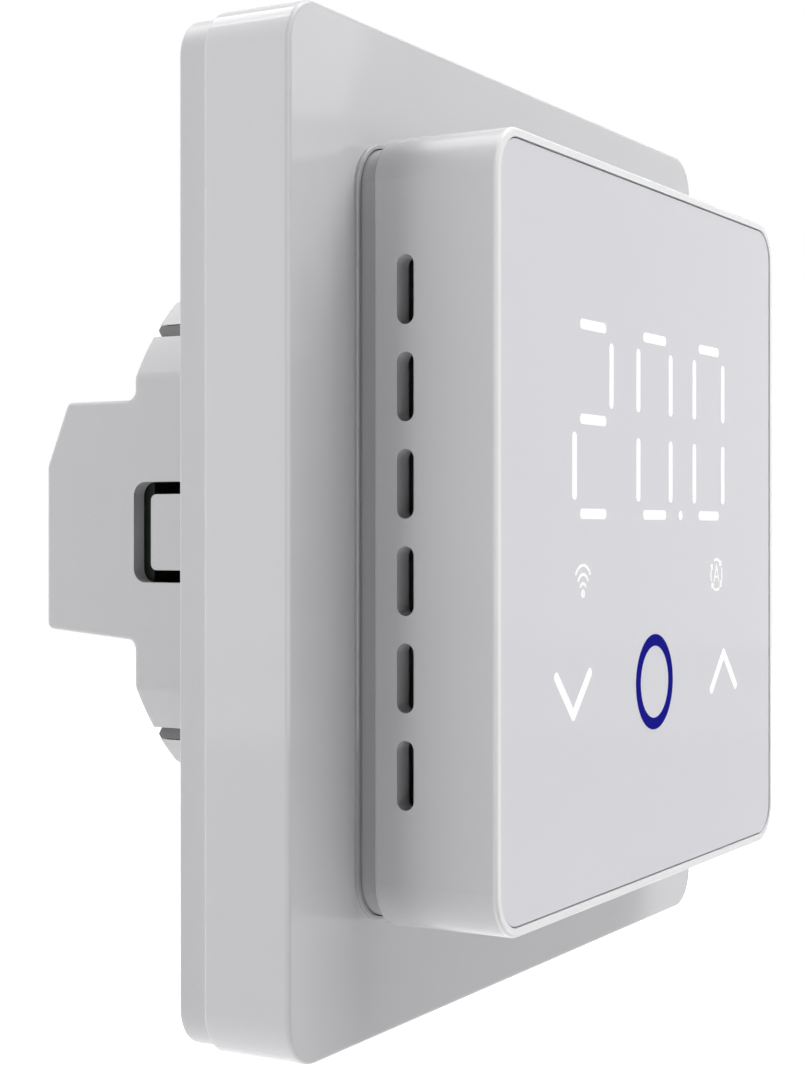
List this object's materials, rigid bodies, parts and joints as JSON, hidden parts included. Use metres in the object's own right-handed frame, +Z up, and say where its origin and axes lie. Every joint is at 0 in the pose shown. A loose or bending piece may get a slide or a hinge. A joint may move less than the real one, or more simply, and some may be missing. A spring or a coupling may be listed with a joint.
{
  "type": "wall thermostat",
  "caption": "Square touch wall thermostat: glass-fronted display module plugged through a cover frame into a flatted round in-wall power unit with a terminal tower.",
  "frame": {"origin": "centre of the wall-screw pattern, on the wall surface", "axes": "-Y points out of the wall towards the room, +X is to the right seen from the room, +Z is up"},
  "size_m": [0.086, 0.0529, 0.086],
  "materials": {
    "frame_plastic": "silver-grey gloss",
    "module_plastic": "silver-grey gloss",
    "collar_plastic": "grey satin",
    "ring_plastic": "silver-grey satin",
    "housing_plastic": "pale grey satin",
    "lid_plastic": "pale grey satin",
    "front_glass": "back-painted gloss",
    "tape_black": "matte",
    "mask_film": "matte",
    "reflector_white": "matte",
    "yoke_steel": "zinc plated",
    "screw_steel": "zinc plated",
    "cage_steel": "zinc plated",
    "pad_foam": "foam",
    "shield_steel": "tinned",
    "contact_brass": "bright",
    "pin_brass": "bright",
    "board_green": "solder-resist satin",
    "relay_black": "satin",
    "ferrite": "matte",
    "can_sleeve": "gloss sleeve",
    "film_yellow": "gloss",
    "varistor_blue": "gloss",
    "fuse_ceramic": "matte",
    "chip_black": "matte",
    "connector_black": "satin",
    "block_green": "satin",
    "led_white": "gloss",
    "sensor_epoxy": "gloss"
  },
  "bodies": {
    "power_unit": {"mounting_yoke": "yoke_steel", "base_ring": "ring_plastic", "rear_housing": "housing_plastic", "power_unit_cover": "lid_plastic", "power_unit_screws": "screw_steel", "power_board": "board_green", "relay": "relay_black", "transformer": "ferrite", "bulk_capacitor": "can_sleeve", "output_capacitor": "can_sleeve", "mains_capacitor": "film_yellow", "varistor": "varistor_blue", "board_fuse": "fuse_ceramic", "power_chips": "chip_black", "header_socket": "connector_black", "link_pins": "pin_brass", "terminal_board": "board_green", "terminal_block": "block_green", "terminal_contacts": "contact_brass"},
    "frame": {"cover_frame": "frame_plastic"},
    "display_module": {"display_housing": "module_plastic", "glass_panel": "front_glass", "glass_tape": "tape_black", "display_mask": "mask_film", "reflector_block": "reflector_white", "display_board": "board_green", "segment_leds": "led_white", "touch_pads": "pad_foam", "wireless_module": "shield_steel", "control_chips": "chip_black", "temperature_sensor": "sensor_epoxy", "plug_base": "connector_black", "plug_pins": "pin_brass", "module_back_cover": "collar_plastic", "module_screws": "screw_steel"},
    "left_latch": {"latch_tongue_left": "housing_plastic"},
    "right_latch": {"latch_tongue_right": "housing_plastic"},
    "clamp_screw_1": {"terminal_screw_1": "screw_steel"},
    "clamp_cage_1": {"terminal_cage_1": "cage_steel"},
    "clamp_screw_2": {"terminal_screw_2": "screw_steel"},
    "clamp_cage_2": {"terminal_cage_2": "cage_steel"},
    "clamp_screw_3": {"terminal_screw_3": "screw_steel"},
    "clamp_cage_3": {"terminal_cage_3": "cage_steel"},
    "clamp_screw_4": {"terminal_screw_4": "screw_steel"},
    "clamp_cage_4": {"terminal_cage_4": "cage_steel"},
    "clamp_screw_5": {"terminal_screw_5": "screw_steel"},
    "clamp_cage_5": {"terminal_cage_5": "cage_steel"},
    "clamp_screw_6": {"terminal_screw_6": "screw_steel"},
    "clamp_cage_6": {"terminal_cage_6": "cage_steel"}
  },
  "joints": [
    {"name": "frame_pull", "type": "slide", "parent": "power_unit", "child": "frame", "axis": [0, -1, 0], "range_m": [0, 0.01]},
    {"name": "module_pull", "type": "slide", "parent": "frame", "child": "display_module", "axis": [0, -1, 0], "range_m": [0, 0.014]},
    {"name": "left_latch_press", "type": "hinge", "parent": "power_unit", "child": "left_latch", "pos_m": [-0.0242, 0.004, 0], "axis": [0, 0, -1], "range_deg": [0, 6], "stiffness_Nm_per_rad": 0.1},
    {"name": "right_latch_press", "type": "hinge", "parent": "power_unit", "child": "right_latch", "pos_m": [0.0242, 0.004, 0], "axis": [0, 0, 1], "range_deg": [0, 6], "stiffness_Nm_per_rad": 0.1},
    {"name": "clamp_screw_1_turn", "type": "hinge", "parent": "power_unit", "child": "clamp_screw_1", "pos_m": [-0.01875, 0.0254, -0.0015], "axis": [0, -1, 0], "range_deg": [0, 1081]},
    {"name": "clamp_cage_1_rise", "type": "slide", "parent": "power_unit", "child": "clamp_cage_1", "axis": [0, 1, 0], "range_m": [0, 0.0015]},
    {"name": "clamp_screw_2_turn", "type": "hinge", "parent": "power_unit", "child": "clamp_screw_2", "pos_m": [-0.01125, 0.0254, -0.0015], "axis": [0, -1, 0], "range_deg": [0, 1081]},
    {"name": "clamp_cage_2_rise", "type": "slide", "parent": "power_unit", "child": "clamp_cage_2", "axis": [0, 1, 0], "range_m": [0, 0.0015]},
    {"name": "clamp_screw_3_turn", "type": "hinge", "parent": "power_unit", "child": "clamp_screw_3", "pos_m": [-0.00375, 0.0254, -0.0015], "axis": [0, -1, 0], "range_deg": [0, 1081]},
    {"name": "clamp_cage_3_rise", "type": "slide", "parent": "power_unit", "child": "clamp_cage_3", "axis": [0, 1, 0], "range_m": [0, 0.0015]},
    {"name": "clamp_screw_4_turn", "type": "hinge", "parent": "power_unit", "child": "clamp_screw_4", "pos_m": [0.00375, 0.0254, -0.0015], "axis": [0, -1, 0], "range_deg": [0, 1081]},
    {"name": "clamp_cage_4_rise", "type": "slide", "parent": "power_unit", "child": "clamp_cage_4", "axis": [0, 1, 0], "range_m": [0, 0.0015]},
    {"name": "clamp_screw_5_turn", "type": "hinge", "parent": "power_unit", "child": "clamp_screw_5", "pos_m": [0.01125, 0.0254, -0.0015], "axis": [0, -1, 0], "range_deg": [0, 1081]},
    {"name": "clamp_cage_5_rise", "type": "slide", "parent": "power_unit", "child": "clamp_cage_5", "axis": [0, 1, 0], "range_m": [0, 0.0015]},
    {"name": "clamp_screw_6_turn", "type": "hinge", "parent": "power_unit", "child": "clamp_screw_6", "pos_m": [0.01875, 0.0254, -0.0015], "axis": [0, -1, 0], "range_deg": [0, 1081]},
    {"name": "clamp_cage_6_rise", "type": "slide", "parent": "power_unit", "child": "clamp_cage_6", "axis": [0, 1, 0], "range_m": [0, 0.0015]}
  ],
  "couplings": [
    {"joint": "clamp_screw_1_turn", "follows": "clamp_cage_1_rise", "rad_per_m": 12566},
    {"joint": "clamp_screw_2_turn", "follows": "clamp_cage_2_rise", "rad_per_m": 12566},
    {"joint": "clamp_screw_3_turn", "follows": "clamp_cage_3_rise", "rad_per_m": 12566},
    {"joint": "clamp_screw_4_turn", "follows": "clamp_cage_4_rise", "rad_per_m": 12566},
    {"joint": "clamp_screw_5_turn", "follows": "clamp_cage_5_rise", "rad_per_m": 12566},
    {"joint": "clamp_screw_6_turn", "follows": "clamp_cage_6_rise", "rad_per_m": 12566}
  ]
}
